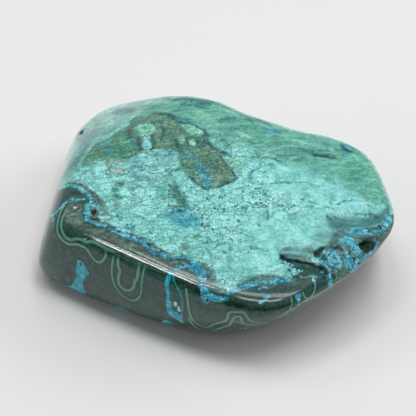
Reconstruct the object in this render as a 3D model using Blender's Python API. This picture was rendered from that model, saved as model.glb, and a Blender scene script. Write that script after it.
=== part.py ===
# A tumbled, hand-polished freeform of chrysocolla and malachite, one solid stone.
# It is a slanted block: flat underneath, with eight ground side faces, a sloping flat on
# the upper left and a slightly domed top, all run into each other with soft polished edges.
# Units: the shape is worked out in millimetres and degrees, and the mesh is in metres.

import bpy
import bmesh
import numpy as np

MM = 0.001

# The heart is the point inside the stone that every ground face is measured from.
HEART = (-1.43, 2.90, 11.0)

# Ground faces: azimuth and elevation of the outward direction, distance from the heart.
SIDE_FACES = {
    "front_left": (-121.5, -0.5, 33.2),
    "front": (-101.5, -25.5, 33.4),
    "front_right": (-51.5, -40.5, 29.1),
    "right_low": (-30, -28, 35.2),
    "right": (14, 10.5, 38.1),
    "back_right": (65, 15, 21.5),
    "upper_left_slope": (141, 56.5, 23.8),
    "left": (172.5, 16, 33.7),
    "back_left": (127, -2.5, 42.5),
}
TOP_FACE = (-105, 80.5, 15.5)
TOP_CROWN = 520          # radius of the top's dome
REST_FACE = (0, -90, 11)

# How widely the polish has rounded the edges.
SIDE_EDGE = 1.8
TOP_EDGE = 2.6
REST_EDGE = 2.8
REST_FLAT = 0.04         # anything this near the rest plane is on it

# Hollows in the upper side. A route's points are plan positions, floor is the part of the
# half-width that stays at full depth, so a small floor is a bowl and a large one a pit.
HOLLOWS = {
    "back_dip": {"route": [(8, 16.2), (18, 11.5)], "half_width": 9, "depth": 1.0, "floor": 0.0},
    "right_groove": {
        "route": [(25.5, -17), (29.3, -16.2), (32.7, -16), (35.6, -14.6), (37.3, -11.5)],
        "half_width": 3.4, "depth": 1.1, "floor": 0.1,
    },
    "front_scoop": {"route": [(14.6, -24.6), (17, -25.1), (20, -25.5)], "half_width": 4.2,
                    "depth": 0.7, "floor": 0.0},
    "crevice": {"route": [(14.2, -26), (16.5, -26.7), (19.3, -27.4), (22.3, -28.5)],
                "half_width": 1.5, "depth": 1.2, "floor": 0.2},
    "crystal_pocket": {"route": [(22.2, -24.7), (23.5, -24)], "half_width": 1.6, "depth": 0.9,
                       "floor": 0.2},
    "corner_pit": {"route": [(31.6, -22), (32.4, -21.5)], "half_width": 1.5, "depth": 1.3,
                   "floor": 0.3},
    "slope_pit": {"route": [(-30.9, 24)], "half_width": 1.5, "depth": 1.0, "floor": 0.3},
}

# Mesh: an icosphere stretched to the stone's rough proportions, then split wherever the
# surface turns quickly or dips into a hollow.
SPHERE_LEVEL = 5
STRETCH = (38, 36, 15)
SPLIT_TURN = 14          # degrees between the normals at an edge's two ends
SPLIT_ROUNDS = 3
HOLLOW_EDGE = 0.9        # longest edge left inside a small hollow
SHORTEST_EDGE = 0.7      # nothing shorter than this is split
FURTHEST = 80            # no point of the stone is further than this from the heart


def direction(azimuth, elevation):
    azimuth, elevation = np.radians(azimuth), np.radians(elevation)
    level = np.cos(elevation)
    return np.array([np.cos(azimuth) * level, np.sin(azimuth) * level, np.sin(elevation)])


def rounded_max(distances, rounding):
    """The greatest of several distances, with the change-over between them rounded."""
    distances = np.array(distances)
    greatest = distances.max(axis=0)
    return greatest + rounding * np.log(np.exp((distances - greatest) / rounding).sum(axis=0))


def plane_distance(points, azimuth, elevation, distance):
    return (points - HEART) @ direction(azimuth, elevation) - distance


def crown_distance(points, azimuth, elevation, distance, crown):
    centre = HEART + direction(azimuth, elevation) * (distance - crown)
    return np.linalg.norm(points - centre, axis=-1) - crown


def stone_distance(points):
    """Negative inside the stone and positive outside, with no hollows yet."""
    sides = rounded_max([plane_distance(points, *face) for face in SIDE_FACES.values()], SIDE_EDGE)
    upper = rounded_max([sides, crown_distance(points, *TOP_FACE, TOP_CROWN)], TOP_EDGE)
    return rounded_max([upper, plane_distance(points, *REST_FACE)], REST_EDGE)


def meet_surface(starts, directions):
    """Where lines that start inside the stone leave it."""
    near = np.zeros(len(directions))
    far = np.full(len(directions), float(FURTHEST))
    for _ in range(40):
        middle = (near + far) / 2
        inside = stone_distance(starts + directions * middle[:, None]) < 0
        near = np.where(inside, middle, near)
        far = np.where(inside, far, middle)
    return starts + directions * near[:, None]


def outward(points):
    step = 0.02
    slopes = [stone_distance(points + axis) - stone_distance(points - axis)
              for axis in np.eye(3) * step]
    slopes = np.stack(slopes, axis=-1)
    return slopes / np.linalg.norm(slopes, axis=1, keepdims=True)


def route_distance(points, route):
    """Distance from each point to a line of straight runs."""
    if len(route) == 1:
        return np.linalg.norm(points - route[0], axis=1)
    nearest = np.full(len(points), np.inf)
    for start, end in zip(route[:-1], route[1:]):
        run = end - start
        along = np.clip((points - start) @ run / (run @ run), 0, 1)
        gap = np.linalg.norm(points - start - along[:, None] * run, axis=1)
        nearest = np.minimum(nearest, gap)
    return nearest


def on_top(route):
    """Plan positions lifted onto the upper side."""
    plan = np.array([(x, y, HEART[2]) for x, y in route], dtype=float)
    return meet_surface(plan, np.tile((0.0, 0.0, 1.0), (len(plan), 1)))


def hollow_depth(points):
    """How far each point of the surface is pressed in."""
    depth = np.zeros(len(points))
    for hollow in HOLLOWS.values():
        gap = route_distance(points, on_top(hollow["route"])) / hollow["half_width"]
        slope = np.clip((1 - gap) / (1 - hollow["floor"]), 0, 1)
        depth += hollow["depth"] * slope * slope * (3 - 2 * slope)
    return depth


def small_hollow_gap(points):
    """Distance to the nearest small hollow's edge, negative inside it."""
    small = [hollow for hollow in HOLLOWS.values() if hollow["half_width"] < 5]
    gaps = [route_distance(points, on_top(hollow["route"])) - hollow["half_width"]
            for hollow in small]
    return np.min(gaps, axis=0)


def bare_surface(ball):
    """Points of a unit ball carried out to the stone's surface."""
    stretched = ball * STRETCH
    stretched /= np.linalg.norm(stretched, axis=1, keepdims=True)
    return meet_surface(np.tile(HEART, (len(ball), 1)), stretched)


def ball_points(mesh):
    points = np.array([vertex.co[:] for vertex in mesh.verts])
    return points / np.linalg.norm(points, axis=1, keepdims=True)


def split_busy_edges(mesh):
    """Halve the edges over which the surface turns quickly or enters a small hollow."""
    mesh.verts.index_update()
    surface = bare_surface(ball_points(mesh))
    normals = outward(surface)
    gaps = small_hollow_gap(surface)
    busy = []
    for edge in mesh.edges:
        a, b = edge.verts[0].index, edge.verts[1].index
        length = np.linalg.norm(surface[a] - surface[b])
        turn = np.degrees(np.arccos(np.clip(normals[a] @ normals[b], -1, 1)))
        in_hollow = min(gaps[a], gaps[b]) < 0 and length > HOLLOW_EDGE
        if length > SHORTEST_EDGE and (turn > SPLIT_TURN or in_hollow):
            busy.append(edge)
    bmesh.ops.subdivide_edges(mesh, edges=busy, cuts=1)
    bmesh.ops.triangulate(mesh, faces=mesh.faces[:], quad_method="SHORT_EDGE")


def flatten_rest_face(mesh):
    """One plain face underneath in place of the triangles that lie in the rest plane."""
    for vertex in mesh.verts:
        if vertex.co.z < REST_FLAT * MM:
            vertex.co.z = 0
    resting = [face for face in mesh.faces if all(vertex.co.z == 0 for vertex in face.verts)]
    bmesh.ops.dissolve_faces(mesh, faces=resting)


def stone_mesh():
    mesh = bmesh.new()
    bmesh.ops.create_icosphere(mesh, subdivisions=SPHERE_LEVEL, radius=1)
    for _ in range(SPLIT_ROUNDS):
        split_busy_edges(mesh)
    surface = bare_surface(ball_points(mesh))
    surface -= outward(surface) * hollow_depth(surface)[:, None]
    for vertex, place in zip(mesh.verts, surface * MM):
        vertex.co = place
    flatten_rest_face(mesh)
    bmesh.ops.recalc_face_normals(mesh, faces=mesh.faces[:])
    for face in mesh.faces:
        face.smooth = True
    data = bpy.data.meshes.new("chrysocolla_stone")
    mesh.to_mesh(data)
    mesh.free()
    return data


def stone_material():
    material = bpy.data.materials.new("polished_chrysocolla")
    material.use_nodes = True
    shader = material.node_tree.nodes["Principled BSDF"]
    shader.inputs["Base Color"].default_value = (0.19, 0.50, 0.45, 1)
    shader.inputs["Roughness"].default_value = 0.18
    shader.inputs["Metallic"].default_value = 0.0
    return material


def build():
    for leftover in list(bpy.data.objects):
        bpy.data.objects.remove(leftover)
    stone = bpy.data.objects.new("chrysocolla_stone", stone_mesh())
    stone.data.materials.append(stone_material())
    bpy.context.scene.collection.objects.link(stone)


build()
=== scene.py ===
# A tumbled, hand-polished freeform of chrysocolla and malachite on a pale studio floor.
# The stone is worked out in millimetres and its mesh is laid down in metres.
import math
import bpy
import bmesh
import numpy as np
from mathutils import Matrix, Vector
from mathutils.bvhtree import BVHTree


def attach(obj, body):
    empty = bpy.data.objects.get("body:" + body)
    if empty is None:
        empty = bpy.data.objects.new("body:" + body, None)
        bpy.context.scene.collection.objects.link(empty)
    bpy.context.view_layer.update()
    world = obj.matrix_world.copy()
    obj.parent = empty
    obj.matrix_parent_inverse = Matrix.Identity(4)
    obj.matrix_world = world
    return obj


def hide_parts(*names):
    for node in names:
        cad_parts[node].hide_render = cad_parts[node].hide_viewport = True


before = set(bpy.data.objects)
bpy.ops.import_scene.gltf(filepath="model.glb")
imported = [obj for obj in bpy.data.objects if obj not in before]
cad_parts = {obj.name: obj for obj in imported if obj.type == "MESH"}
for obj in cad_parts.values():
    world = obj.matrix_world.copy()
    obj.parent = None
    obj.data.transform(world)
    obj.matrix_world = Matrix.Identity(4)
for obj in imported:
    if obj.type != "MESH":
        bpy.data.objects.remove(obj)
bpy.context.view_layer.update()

mm = 0.001

# The camera's view. It also places the markings, which are drawn as seen from the front.
view = dict(
    elevation=42,                # degrees above the floor
    distance=430,                # mm from the target
    frameWidth=94.5,             # mm across the picture at the target
    target=(-1.43, 4.90, 8.0),
    clip=(0.01, 20),             # nearest and furthest the camera sees, metres
    imageSize=416,               # pixels across, for the markings' coordinates
    sensor=36,
)

# The ground and polished body: flat faces as azimuth, elevation and distance from the heart.
# The figures of the faces and their edges come from a least-squares fit and were then rounded.
stone = dict(
    heart=(-1.43, 2.90, 11.0),
    sideFaces=dict(
        frontLeft=(-121.5, -0.5, 33.2),
        front=(-101.5, -25.5, 33.4),
        frontRight=(-51.5, -40.5, 29.1),
        rightLow=(-30, -28, 35.2),
        right=(14, 10.5, 38.1),
        backRight=(65, 15, 21.5),
        upperLeftSlope=(141, 56.5, 23.8),
        left=(172.5, 16, 33.7),
        backLeft=(127, -2.5, 42.5),
    ),
    topFace=(-105, 80.5, 15.5),
    topCrown=520,                # radius of the top's dome
    restFace=(0, -90, 11),
    sideEdge=1.8,                # how widely the polish has rounded the edges
    topEdge=2.6,
    restEdge=2.8,
    restFlat=0.04,               # the ground rest face is level within this height
    stretch=(38, 36, 15),        # rough proportions, for an even mesh
    sphereLevel=6,
    seenEdge=0.62,               # longest mesh edges, mm
    hiddenEdge=1.6,
    lineEdge=0.36,
    lineReach=0.62,              # how far from a marking's edge the fine mesh goes
    rounds=5,
    waviness=0.05,               # height of the polish's slow waves
    waves=[(11, 1.0, 1), (11 / 2.7, 0.35, 2)],       # width in mm, share and seed
    furthest=80,                 # mm, more than any place on the stone is from the heart
    halvings=34,                 # steps that find the surface along a ray
    slopeStep=0.05,              # mm to each side, for the slope of the surface
    seenFacing=-0.12,            # faces turned at least this far to the camera count as seen
)

# Hollows in the upper side, as plan positions in mm.
hollows = dict(
    backDip=dict(route=[(8, 16.2), (18, 11.5)], halfWidth=9, depth=1.0, floor=0.0),
    rightGroove=dict(route=[(25.5, -17), (29.3, -16.2), (32.7, -16), (35.6, -14.6), (37.3, -11.5)],
                     halfWidth=3.4, depth=1.1, floor=0.1),
    frontScoop=dict(route=[(14.6, -24.6), (17, -25.1), (20, -25.5)], halfWidth=4.2, depth=0.7,
                    floor=0.0),
    crevice=dict(route=[(14.2, -26), (16.5, -26.7), (19.3, -27.4), (22.3, -28.5)], halfWidth=1.5,
                 depth=1.2, floor=0.2),
    crystalPocket=dict(route=[(22.2, -24.7), (23.5, -24)], halfWidth=1.6, depth=0.9, floor=0.2),
    cornerPit=dict(route=[(31.6, -22), (32.4, -21.5)], halfWidth=1.5, depth=1.3, floor=0.3),
    slopePit=dict(route=[(-30.9, 24)], halfWidth=1.5, depth=1.0, floor=0.3),
)


def direction(azimuth, elevation):
    azimuth, elevation = math.radians(azimuth), math.radians(elevation)
    level = math.cos(elevation)
    return np.array([math.cos(azimuth) * level, math.sin(azimuth) * level, math.sin(elevation)])


def roundedMax(distances, rounding):
    distances = np.array(distances)
    greatest = distances.max(axis=0)
    return greatest + rounding * np.log(np.exp((distances - greatest) / rounding).sum(axis=0))


def stoneDistance(points):
    def plane(azimuth, elevation, distance):
        return (points - stone["heart"]) @ direction(azimuth, elevation) - distance
    sides = roundedMax([plane(*face) for face in stone["sideFaces"].values()], stone["sideEdge"])
    azimuth, elevation, distance = stone["topFace"]
    centre = stone["heart"] + direction(azimuth, elevation) * (distance - stone["topCrown"])
    top = np.linalg.norm(points - centre, axis=-1) - stone["topCrown"]
    upper = roundedMax([sides, top], stone["topEdge"])
    return roundedMax([upper, plane(*stone["restFace"])], stone["restEdge"])


def meetStone(starts, rays):                 # where lines that start inside the stone leave it
    near, far = np.zeros(len(rays)), np.full(len(rays), float(stone["furthest"]))
    for halving in range(stone["halvings"]):
        middle = (near + far) / 2
        outside = stoneDistance(starts + rays * middle[:, None]) > 0
        far = np.where(outside, middle, far)
        near = np.where(outside, near, middle)
    return starts + rays * near[:, None]


def ontoStone(points):                       # slides points along their rays from the heart
    heart = np.tile(stone["heart"], (len(points), 1))
    rays = points - heart
    return meetStone(heart, rays / np.linalg.norm(rays, axis=1)[:, None])


def outwards(points):                        # unit normals of the smooth body
    slopes = [stoneDistance(points + step) - stoneDistance(points - step)
              for step in np.eye(3) * stone["slopeStep"]]
    slopes = np.stack(slopes, axis=-1)
    return slopes / np.linalg.norm(slopes, axis=1)[:, None]


def scattered(cells, salt):                  # a repeatable random number for each whole cell
    mixed = cells[..., 0] * 12.9898 + cells[..., 1] * 78.233 + cells[..., 2] * 37.719 + salt * 4.581
    return (np.sin(mixed) * 43758.5453) % 1.0


def softNoise(points, size, salt=0):         # smooth waves of about this size, from -1 to 1
    scaled = points / size + 100
    base = np.floor(scaled)
    part = scaled - base
    part = part * part * (3 - 2 * part)
    total = np.zeros(len(points))
    for corner in np.ndindex(2, 2, 2):
        weight = np.prod(np.where(corner, part, 1 - part), axis=1)
        total += weight * scattered(base + corner, salt)
    return total * 2 - 1


def crystalNoise(points, size, salt=0):      # distance to the nearest of many scattered points
    scaled = points / size + 100
    base = np.floor(scaled)
    nearest = np.full(len(points), 9.0)
    for corner in np.ndindex(3, 3, 3):
        cell = base + np.array(corner) - 1
        seed = cell + np.stack([scattered(cell, salt + axis) for axis in (1, 2, 3)], axis=-1)
        nearest = np.minimum(nearest, np.linalg.norm(scaled - seed, axis=1))
    return nearest


def gapToRoute(points, route, halfWidths=0.0):
    halfWidths = np.broadcast_to(np.array(halfWidths, float), (len(route),))
    if len(route) == 1:
        return np.linalg.norm(points - route[0], axis=1) - halfWidths[0]
    best = np.full(len(points), 1e9)
    for start, end, wide, wideEnd in zip(route, route[1:], halfWidths, halfWidths[1:]):
        span = end - start
        along = np.clip((points - start) @ span / max(span @ span, 1e-9), 0, 1)
        gap = np.linalg.norm(points - start - along[:, None] * span, axis=1)
        best = np.minimum(best, gap - wide - along * (wideEnd - wide))
    return best


def hollowDepth(points):
    depth = np.zeros(len(points))
    for hollow in hollows.values():
        flat = np.array([(x, y, stone["heart"][2]) for x, y in hollow["route"]])
        route = meetStone(flat, np.tile((0.0, 0.0, 1.0), (len(flat), 1)))
        gap = gapToRoute(points, route) / hollow["halfWidth"]
        slope = np.clip((1 - gap) / (1 - hollow["floor"]), 0, 1)
        depth += hollow["depth"] * slope ** 2 * (3 - 2 * slope)
    return depth


# The markings, drawn from the front in pixels: closed outlines, and lines with half widths in mm.
# The turquoise cap lies inside capEdge, the dark banded rock outside.
capEdge = dict(
    seen=[(60, 191), (63.2, 188.5), (69.5, 185.6), (74.6, 186.9), (79.1, 188.5), (82, 191.6),
          (86.1, 192.3), (89.3, 195.5), (90, 198.7), (89.5, 203), (87.4, 205.7), (84.2, 210.8),
          (86.1, 214.6), (84.8, 219.7), (89.3, 220.8), (97, 224.2), (103.3, 225.5), (111.6, 228),
          (118, 232.5), (124.4, 234.4), (129.5, 237), (141, 239.5), (147, 246), (156, 252),
          (167, 255), (171, 257.5), (179, 257), (187, 257.8), (192.5, 261), (196, 266),
          (199, 272), (202, 279), (207, 286), (214, 291), (226, 293), (235, 290), (243, 286.5),
          (252, 284.5), (262, 283), (276, 283), (288, 281), (298, 279), (310, 277),
          (320, 276.5), (328, 274), (333, 266), (342, 257), (350, 254.5), (356, 248), (362, 243),
          (372, 241.5), (381, 235), (387, 228), (389.5, 222), (389.5, 217)],
    hidden=[(38.6, -5, 17), (37, 8, 14), (30, 18, 11), (16, 27, 9), (0, 33, 8), (-16, 37, 7),
            (-30, 36, 6), (-37, 27, 7), (-38, 15, 9), (-37, 7, 12)],
)
markings = dict(
    paleSlope=dict(
        outlines=[[(56, 186), (66, 180), (73, 170.5), (81, 161), (88, 150.5), (96, 140), (104, 136),
                   (112, 132.5), (117, 128), (124, 121), (131, 114), (124, 112), (110, 119),
                   (98, 128), (86, 136), (76, 150), (68, 162), (62, 176)]],
        soft=1.6, ragged=1.5, colours=["#0a7f73", "#34a698", "#66cdbe"], cover=0.85),
    slopeDark=dict(
        outlines=[[(97, 119), (103, 116.5), (109, 119), (108, 125), (101, 128.5), (96, 125)],
                  [(79, 137), (85, 132), (92, 133), (93, 140), (87, 147), (79, 148)],
                  [(104, 108), (114, 103.5), (128, 101.5), (128, 106), (116, 110), (106, 115)]],
        lines=[([(62, 178), (70, 168), (79, 155), (87, 145)], [0.4, 0.7, 0.6, 0.3])],
        soft=1.0, ragged=2.4, colours=["#00656b", "#1b8389", "#4aa6a6"], cover=0.75),
    slopeLight=dict(
        outlines=[[(108, 118), (118, 113), (132, 110), (128, 116), (118, 124), (109, 128)],
                  [(87, 122), (94, 116), (97, 120), (92, 128), (86, 131)],
                  [(141, 98), (150, 95.5), (152, 99), (145, 103)]],
        lines=[([(57, 176), (63, 165), (70, 154)], [0.3, 0.5, 0.3])],
        soft=0.9, ragged=2.2, colours=["#2fa99c", "#6bd6c8", "#a9f4ea"], cover=0.8),
    backGreen=dict(
        outlines=[[(128, 104), (160, 98), (190, 97), (215, 102), (250, 116), (290, 130),
                   (325, 136.5), (350, 146), (372, 166), (386, 193), (383, 203), (366, 196),
                   (345, 184), (318, 172), (290, 160), (270, 151), (246, 143), (222, 141),
                   (208, 134), (192, 124), (174, 116), (154, 110), (134, 113)]],
        soft=2.4, ragged=2.0, colours=["#35806f", "#57a692", "#7fcab8"], cover=0.5),
    backTeal=dict(
        outlines=[[(166, 97), (185, 95), (203, 98), (216, 103), (203, 104.5), (185, 101.5),
                   (168, 100.5)],
                  [(112, 112.5), (124, 108), (134, 108), (134, 112.5), (124, 114.5), (114, 116)],
                  [(84, 124), (90, 119), (98, 120), (97, 127), (88, 131)],
                  [(341, 143.5), (348, 145), (356, 149), (352, 153), (345, 151)]],
        lines=[([(182, 104), (192, 105), (203, 108)], [0.3, 0.5, 0.3]),
               ([(171, 115.5), (178, 117.5), (186, 120), (193, 124)], [0.3, 0.4, 0.4, 0.2]),
               ([(253, 118), (262, 121), (270, 126)], [0.2, 0.5, 0.3]),
               ([(266, 128.5), (272, 131), (279, 133)], [0.3, 0.6, 0.3]),
               ([(298, 149), (315, 154), (337, 157.5)], [0.2, 0.5, 0.3]),
               ([(220, 121), (230, 118.5), (240, 117.5), (256, 122)], [0.3, 0.6, 0.5, 0.2]),
               ([(236, 129.5), (246, 130.5)], [0.3, 0.4]),
               ([(60, 178), (72, 166), (82, 152), (90, 143)], [0.5, 0.7, 0.6, 0.3])],
        soft=0.9, ragged=2.4, colours=["#154d59", "#2c6f78", "#55a0a2"], cover=0.8),
    backPale=dict(
        outlines=[[(98, 118), (108, 113.5), (118, 114), (117, 120), (106, 127), (99, 127)]],
        lines=[([(136, 105), (158, 101.5), (176, 103)], [0.3, 0.5, 0.3]),
               ([(194, 109), (206, 116), (216, 126)], [0.5, 0.9, 0.6]),
               ([(235, 132), (242, 134), (249, 137)], [0.3, 0.45, 0.3]),
               ([(214, 105.5), (228, 111), (242, 118)], [0.2, 0.4, 0.2]),
               ([(256, 123.5), (266, 126.5), (277, 130)], [0.3, 0.4, 0.2]),
               ([(288, 139), (310, 145), (332, 150)], [0.2, 0.4, 0.2]),
               ([(345, 150), (360, 160), (370, 170)], [0.3, 0.5, 0.3])],
        soft=0.9, ragged=2.2, colours=["#66b59c", "#88cfb8", "#b4ead8"], cover=0.7),
    # Painted highlight: a pale line along the left ridge where the polish catches the light.
    paintedRidgeHighlight=dict(
        lines=[([(134, 115.5), (128, 121.5), (117, 130), (109, 134), (97, 142.5), (89.5, 150),
                 (79.7, 165), (71, 173.5), (58.7, 186)],
                [0.3, 0.6, 0.45, 0.2, 0.2, 0.2, 0.22, 0.28, 0.35])],
        soft=0.35, ragged=0.8, colours=["#5fb9ab", "#93ddd0", "#cdf5ec"], cover=0.85),
    oliveGround=dict(
        outlines=[[(81, 163), (86, 155), (92, 148), (96, 143), (103, 141), (110, 137), (115, 133.5),
                   (121, 130), (127, 127), (131, 121), (137, 117), (145, 116), (155, 113.5),
                   (165, 114), (173, 117), (178, 122), (186, 124), (195, 127), (203, 131),
                   (207, 137), (211, 144), (215, 148), (222, 151.5), (220, 158), (225, 164),
                   (231, 168), (233, 173), (238, 177.5), (232, 180.5), (225, 184), (216, 188),
                   (208, 189), (202, 186.5), (195, 181), (190, 175.5), (184, 172), (180, 165),
                   (178, 154), (171, 150), (162, 149.5), (153, 150), (146, 151), (137, 155),
                   (130, 158), (121, 160), (112, 159.5), (104, 160.5), (97, 160.5), (90, 164),
                   (84, 167)]],
        soft=0.4, ragged=1.0, colours=["#335f50", "#5d8d75", "#85b89d"], cover=0.9),
    greenGround=dict(
        outlines=[[(85, 166), (90, 157), (97, 148), (108, 140), (119, 134), (128, 127),
                   (134, 122), (137, 128), (136, 138), (138, 147), (134, 155), (122, 158.5),
                   (108, 158), (98, 158.5)]],
        soft=1.0, ragged=2.5, colours=["#2b6f59", "#4b9a7c", "#74c0a0"], cover=0.8),
    slateRim=dict(
        lines=[([(155, 113.5), (165, 113.8), (172, 116), (178, 121.5), (186, 123.5), (195, 126.5),
                 (203, 130.5)], [0.45, 0.5, 0.6, 0.45, 0.4, 0.45, 0.5]),
               ([(203, 131), (206, 137), (207, 143)], [0.6, 0.8, 0.3]),
               ([(209, 143), (213, 147.5), (222, 151.5), (226, 153)], [0.15, 0.25, 0.55, 0.5]),
               ([(221, 156), (222, 160), (226, 165), (231, 168), (233, 173.5), (238, 177.5)],
                [0.4, 0.3, 0.25, 0.3, 0.35, 0.2]),
               ([(238, 177.5), (232, 181), (225, 184.5), (217, 188)], [0.2, 0.45, 0.35, 0.25]),
               ([(208, 189.5), (202, 187), (195, 181.5), (189, 176)], [0.4, 0.4, 0.45, 0.3]),
               ([(160, 122), (164, 130), (163, 136), (161, 140)], [0.3, 0.5, 0.4, 0.2]),
               ([(154, 128), (152, 136), (154, 144), (151, 149)], [0.3, 0.45, 0.5, 0.4]),
               ([(176, 139), (177, 146), (180, 151), (179, 158)], [0.25, 0.35, 0.3, 0.3]),
               ([(138, 137), (139, 144), (141, 150), (136, 153)], [0.35, 0.5, 0.4, 0.3]),
               ([(133, 127), (129, 133), (130, 138)], [0.2, 0.4, 0.3]),
               ([(186, 138), (188, 143), (197, 141), (196, 146)], [0.25, 0.3, 0.3, 0.2])],
        soft=0.25, ragged=1.1, colours=["#1f464c", "#355f64", "#52878a"], cover=0.9),
    paleIsland=dict(
        outlines=[[(181, 124.5), (190, 125), (198, 128), (203, 131.5), (203, 135), (195, 135.5),
                   (188, 133), (183, 129)],
                  [(137, 126.5), (143, 123.5), (150, 124), (156, 127.5), (153, 133), (146, 136),
                   (140, 134)],
                  [(180, 138), (184, 138), (185, 142), (183, 144.5), (180.5, 142.5)],
                  [(190, 140.5), (194, 139.5), (195.5, 143), (194, 146), (190.5, 144.5)],
                  [(223, 156.5), (230, 156), (238, 158), (243, 166), (241, 174), (235, 172),
                   (231, 167), (226, 162)],
                  [(235, 131), (240, 132), (248, 135.5), (249, 138), (241, 136)]],
        soft=0.3, ragged=1.2, colours=["#5fb09c", "#8ed8c0", "#b6f2dd"], cover=0.9),
    aquaIsland=dict(
        outlines=[[(144, 137), (149, 136.5), (150.5, 142), (150.5, 148), (145, 149.5), (142, 146),
                   (143.5, 142)],
                  [(138, 152.5), (143, 152), (148, 154), (150.5, 160), (149, 167), (145, 173),
                   (138, 172), (136.5, 165), (140, 160)],
                  [(168, 153), (172, 152.5), (172.5, 157), (169, 158)]],
        soft=0.3, ragged=1.3, colours=["#5cb4ba", "#8fdede", "#c2f7f5"], cover=0.9),
    lilacHaze=dict(
        outlines=[[(156, 151), (165, 149), (176, 149), (180, 153), (180, 160), (174, 164),
                   (166, 168), (158, 166), (155, 158)],
                  [(87, 161), (97, 160.5), (99, 164), (92, 167), (86, 166)],
                  [(128, 158), (134, 157), (137, 163), (136, 173), (130, 177), (127, 170)],
                  [(139, 174), (151, 172), (160, 176), (155, 183), (146, 182), (138, 179)]],
        soft=0.8, ragged=2.6, colours=["#4b8c96", "#72b0b6", "#a2dcda"], cover=0.6),
    oliveBrown=dict(
        outlines=[[(199, 147), (208, 148), (217, 152), (220, 159), (225, 167), (228, 174),
                   (222, 180), (214, 182), (208, 176), (204, 166), (199, 157)],
                  [(163, 119), (172, 119), (177, 125), (177, 133), (170, 136), (165, 129)]],
        soft=0.8, ragged=2.2, colours=["#43624d", "#648a6c", "#90b391"], cover=0.5),
    darkRing=dict(
        outlines=[[(209, 160.5), (212.5, 159.5), (215, 162), (214.5, 165.5), (211, 166),
                   (208.5, 163.5)],
                  [(196, 136.5), (203, 136.5), (208, 139), (206, 146), (200, 148), (197, 143)],
                  [(176, 145), (181, 147), (184, 151), (180, 152.5), (176, 150)]],
        lines=[([(205, 157), (209, 155.5), (215, 157), (219, 163), (217, 169), (211, 170.5),
                 (206, 166), (205, 160)], 0.16)],
        soft=0.3, ragged=1.0, colours=["#21504f", "#3c706c", "#62988c"], cover=0.75),
    creamBlob=dict(
        outlines=[[(106, 167.5), (111, 168), (118, 167), (126, 167.5), (126.5, 171), (123, 174.5),
                   (115, 175), (108, 173.5)],
                  [(105, 160), (114, 159.5), (122, 160), (127, 162), (125, 164.5), (116, 164.5),
                   (107, 164.5)]],
        soft=0.5, ragged=1.8, colours=["#74978a", "#98beb0", "#b8dccf"], cover=0.8),
    deepGreen=dict(
        outlines=[[(115.5, 183), (119, 181), (125, 180.8), (126.5, 183), (123, 186), (117.5, 186)],
                  [(172, 189), (177, 185), (181, 189), (185, 196), (190, 204), (191, 212),
                   (185, 209), (178, 203), (173, 197)]],
        lines=[([(174.5, 171), (179, 168.5), (187, 167)], [0.35, 0.5, 0.3]),
               ([(112, 191), (115, 190), (118, 191)], [0.2, 0.45, 0.25]),
               ([(174, 180), (176, 186), (175, 193)], [0.3, 0.4, 0.3]),
               ([(115, 196), (121, 197.5)], [0.3, 0.25]),
               ([(116, 112.5), (124, 111), (133, 110)], [0.5, 0.8, 0.6])],
        soft=0.8, ragged=2.4, colours=["#125444", "#2a7d66", "#58b09a"], cover=0.9),
    # Pale aqua patches of the cap; the patch above the groove (353-371, 208-215) is a painted
    # highlight on its ridge.
    paleAquaAndPaintedHighlight=dict(
        outlines=[[(96, 187), (101, 188), (104, 192), (102, 195), (98, 193)],
                  [(84, 174), (92, 173), (100, 178), (103, 184), (97, 188), (88, 184), (80, 181)],
                  [(116, 206), (124, 203), (131, 207), (133, 213), (127, 216), (118, 213)],
                  [(131, 220), (140, 217), (152, 217), (162, 221), (163, 228), (152, 233),
                   (143, 236), (134, 231)],
                  [(163, 232), (175, 229), (188, 230), (196, 238), (194, 247), (180, 243),
                   (166, 240)],
                  [(195, 242), (204, 240), (212, 243), (211, 250), (200, 253), (194, 249)],
                  [(200, 210), (205, 209), (211, 211), (210, 216), (203, 217)],
                  [(214, 266), (222, 262), (231, 266), (232, 276), (222, 282), (216, 276)],
                  [(353, 209), (362, 208), (370, 210), (371, 213.5), (363, 215), (354, 213)],
                  [(334, 207), (337, 207), (336.5, 212), (334, 211.5)],
                  [(239, 263.5), (248, 266.5), (258, 268.5), (263, 271), (261.5, 273.5),
                   (252, 271.5), (243, 268.5)]],
        lines=[([(236, 229), (246, 232), (258, 235), (268, 238)], 0.22),
               ([(276, 242), (281, 242.8), (286, 243.5)], [0.2, 0.35, 0.2]),
               ([(290, 247), (297, 249.5)], [0.3, 0.35])],
        soft=0.9, ragged=3.0, colours=["#5fa19c", "#85d6d3", "#a9f2f0"], cover=0.5),
    poolGlow=dict(
        outlines=[[(158, 213), (168, 208), (182, 206), (196, 210), (203, 219), (198, 229),
                   (184, 231), (168, 227)]],
        soft=1.0, ragged=3.0, colours=["#3398ab", "#5abac8", "#97e5ec"], cover=0.5),
    bluePool=dict(
        outlines=[[(200, 166), (207, 168), (210, 174), (210.5, 180), (211, 187), (206.5, 187.5),
                   (204, 182), (201, 177.5), (198, 173), (198, 168)],
                  [(97, 145.5), (101, 143.2), (106, 142.8), (112, 144.5), (107, 146.3),
                   (101, 146.5)],
                  [(106, 150), (109, 149), (111.5, 150.5), (110.5, 153), (107, 153.5)],
                  [(127.5, 141), (130, 140.3), (132, 142), (131.5, 144.5), (128.5, 144.5)],
                  [(133, 123.5), (136, 123), (136.5, 126), (134, 126.3)],
                  [(166, 214), (175, 209.5), (186, 210.5), (184, 214.5), (174, 217)],
                  [(174, 220), (184, 217), (194, 220.5), (190, 226), (179, 225)],
                  [(189, 212), (196, 216), (199, 223), (195, 225), (191, 218)],
                  [(123, 226.5), (128, 224.3), (134, 225), (136, 228), (131, 230), (125, 229.5)],
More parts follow.
